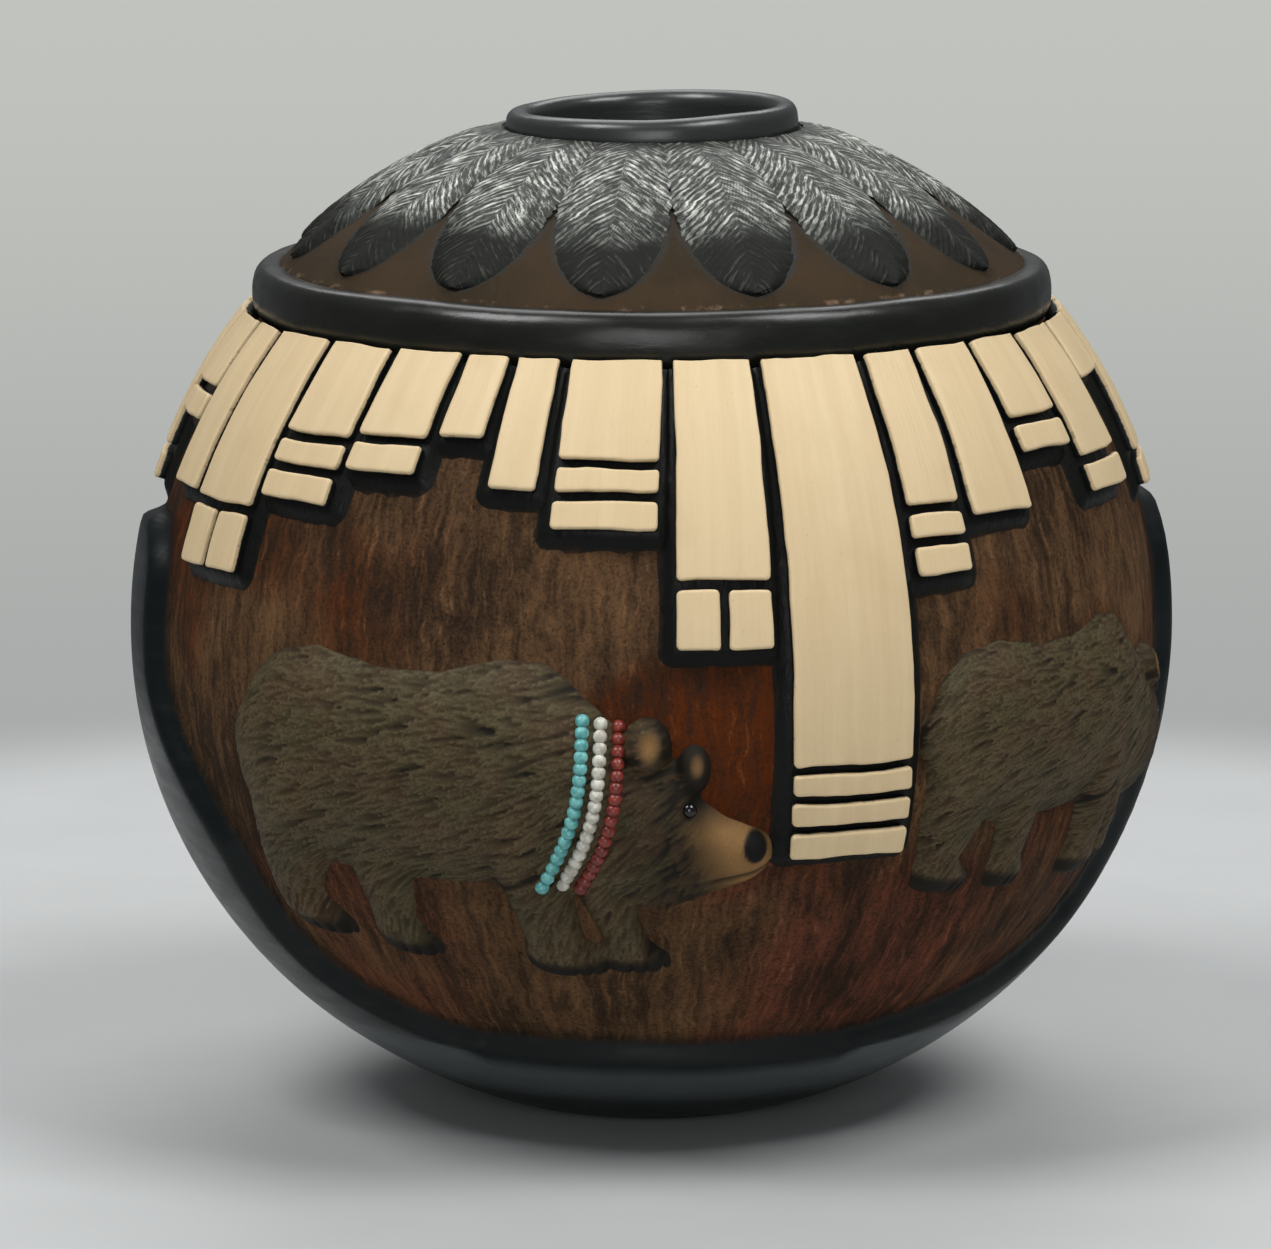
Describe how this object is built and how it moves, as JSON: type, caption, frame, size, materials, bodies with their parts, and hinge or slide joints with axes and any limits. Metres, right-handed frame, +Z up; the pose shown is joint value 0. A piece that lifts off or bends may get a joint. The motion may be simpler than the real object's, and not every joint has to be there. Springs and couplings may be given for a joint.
{
  "type": "etched seed pot",
  "caption": "Nearly spherical earthenware seed pot with a small raised mouth, a shoulder ring, feathers on the dome, hanging cream tabs and bears in relief on an etched brown ground.",
  "frame": {"origin": "on the floor under the pot's axis, in the middle of the flat foot", "axes": "+Z up along the pot's axis, -Y towards the front with the large bear and the long tab, +X to the right"},
  "size_m": [0.2018, 0.2064, 0.1942],
  "materials": {
    "black_slip": "satin black slip, lightly burnished",
    "etched_ground": "matt red-brown clay with fine upright scratches, darkened in the hollows",
    "cream_slip": "matt cream slip with brush marks",
    "feather_slip": "charcoal slip scratched to pale grey barbs",
    "bear_slip": "olive-brown slip over carved fur, satin on the crests",
    "bead_slip": "turquoise, white and deep red slip in rows"
  },
  "bodies": {
    "root": {"pot_bowl": "etched_ground", "shoulder_dome": "etched_ground", "shoulder_ring": "black_slip", "mouth_lip": "black_slip", "tab_01": "cream_slip", "tab_02": "cream_slip", "tab_03": "cream_slip", "tab_04": "cream_slip", "tab_05": "cream_slip", "tab_06": "cream_slip", "tab_07": "cream_slip", "tab_08": "cream_slip", "tab_09": "cream_slip", "tab_10": "cream_slip", "tab_11": "cream_slip", "tab_12": "cream_slip", "tab_13": "cream_slip", "tab_14": "cream_slip", "tab_15": "cream_slip", "tab_16": "cream_slip", "tab_17": "cream_slip", "tab_18": "cream_slip", "tab_19": "cream_slip", "tab_20": "cream_slip", "tab_21": "cream_slip", "tab_22": "cream_slip", "tab_23": "cream_slip", "tab_24": "cream_slip", "tab_25": "cream_slip", "tab_26": "cream_slip", "tab_27": "cream_slip", "tab_28": "cream_slip", "tab_29": "cream_slip", "tab_30": "cream_slip", "tab_31": "cream_slip", "tab_32": "cream_slip", "feather_01": "feather_slip", "feather_02": "feather_slip", "feather_03": "feather_slip", "feather_04": "feather_slip", "feather_05": "feather_slip", "feather_06": "feather_slip", "feather_07": "feather_slip", "feather_08": "feather_slip", "feather_09": "feather_slip", "feather_10": "feather_slip", "feather_11": "feather_slip", "feather_12": "feather_slip", "feather_13": "feather_slip", "feather_14": "feather_slip", "feather_15": "feather_slip", "border_strip_left": "black_slip", "border_strip_right": "black_slip", "bear_front_large": "bear_slip", "bear_front_small": "bear_slip", "bear_back_large": "bear_slip", "bear_back_small": "bear_slip", "bead_collar_front": "bead_slip", "bead_collar_back": "bead_slip"}
  },
  "joints": []
}
